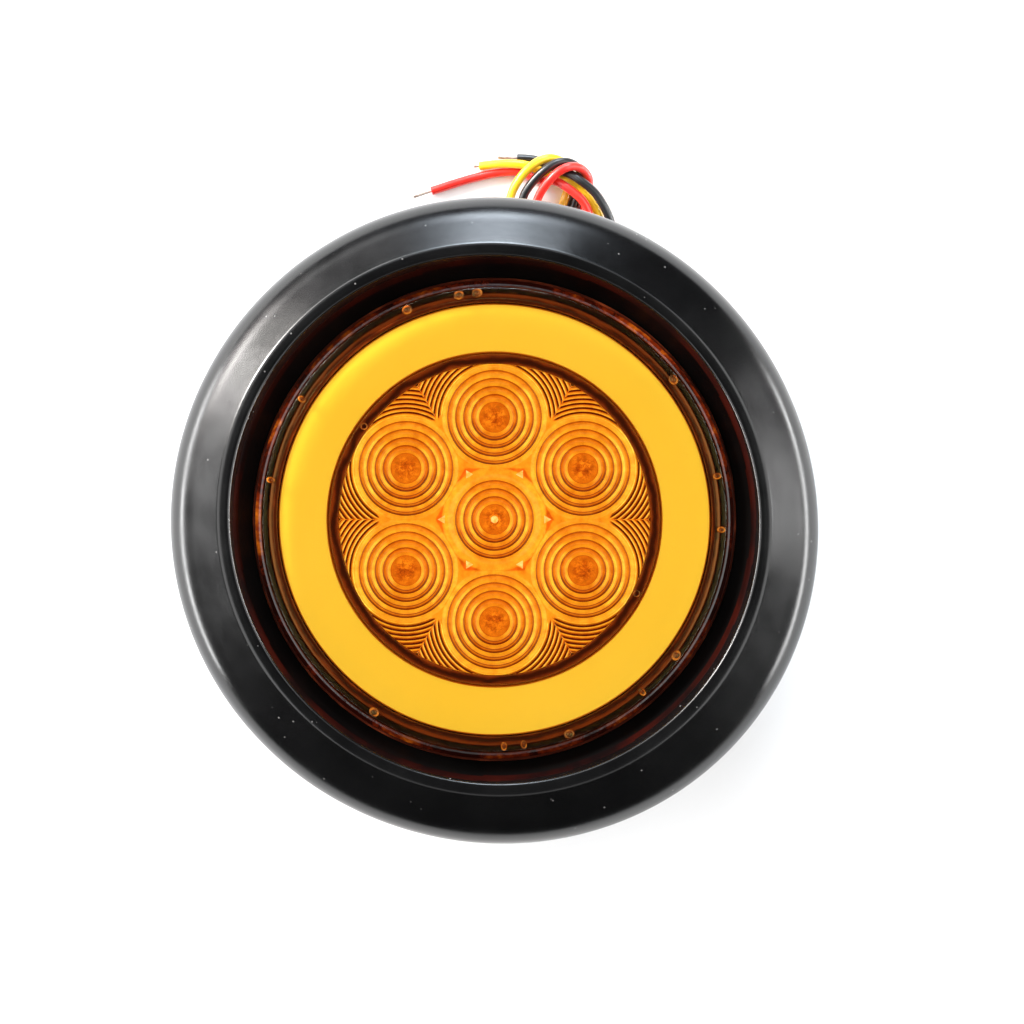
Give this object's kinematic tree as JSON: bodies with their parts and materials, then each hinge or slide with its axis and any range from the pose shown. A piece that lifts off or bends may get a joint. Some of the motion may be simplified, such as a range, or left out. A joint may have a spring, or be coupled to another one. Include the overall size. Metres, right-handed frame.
{
  "type": "trailer tail light",
  "caption": "Round amber LED trailer tail light with a glowing halo ring, held in a black rubber panel grommet, with a plug-in wire pigtail.",
  "frame": {"origin": "on the lens axis, in the plane the plug stands on", "axes": "+Z out of the lens, +Y towards the side where the wires leave, +X to the right seen from the front"},
  "size_m": [0.137, 0.1484, 0.0455],
  "materials": {
    "grommet_rubber": "semi-gloss moulded EPDM rubber",
    "amber_lens": "clear amber polycarbonate",
    "halo_diffuser": "milky diffusing acrylic",
    "reflector": "vacuum metallised plastic",
    "board": "solder-masked fibreglass",
    "power_led": "silicone dome on a white carrier",
    "halo_led": "moulded emitter",
    "chip": "moulded epoxy",
    "resistor": "ceramic",
    "screw_steel": "zinc plated",
    "potting_epoxy": "cured epoxy",
    "housing_plastic": "black polycarbonate, fine texture",
    "pin_brass": "turned",
    "sleeve_brass": "drawn",
    "plug_vinyl": "overmoulded PVC, satin",
    "insulation_yellow": "PVC insulation",
    "insulation_black": "PVC insulation",
    "insulation_red": "PVC insulation",
    "copper_strands": "bare tinned-tip copper strands"
  },
  "bodies": {
    "pigtail": {"plug_body": "plug_vinyl", "sleeve_marker": "sleeve_brass", "sleeve_ground": "sleeve_brass", "sleeve_turn": "sleeve_brass", "wire_yellow": "insulation_yellow", "wire_black": "insulation_black", "wire_red": "insulation_red", "strands_yellow": "copper_strands", "strands_black": "copper_strands", "strands_red": "copper_strands"},
    "lamp": {"grommet": "grommet_rubber", "lens": "amber_lens", "halo_diffuser": "halo_diffuser", "reflector": "reflector", "circuit_board": "board", "housing": "housing_plastic", "potting": "potting_epoxy", "led_center": "power_led", "driver_chip": "chip", "polarity_diode": "chip", "resistor_1": "resistor", "resistor_2": "resistor", "led_outer_1": "power_led", "led_outer_2": "power_led", "led_outer_3": "power_led", "led_outer_4": "power_led", "led_outer_5": "power_led", "led_outer_6": "power_led", "halo_led_1": "halo_led", "halo_led_2": "halo_led", "halo_led_3": "halo_led", "halo_led_4": "halo_led", "halo_led_5": "halo_led", "halo_led_6": "halo_led", "halo_led_7": "halo_led", "halo_led_8": "halo_led", "halo_led_9": "halo_led", "halo_led_10": "halo_led", "halo_led_11": "halo_led", "halo_led_12": "halo_led", "board_screw_1": "screw_steel", "board_screw_2": "screw_steel", "board_screw_3": "screw_steel", "pin_marker": "pin_brass", "pin_ground": "pin_brass", "pin_turn": "pin_brass"}
  },
  "joints": [
    {"name": "lamp_unplug", "type": "slide", "parent": "pigtail", "child": "lamp", "axis": [0, 0, 1], "range_m": [0, 0.025]}
  ]
}
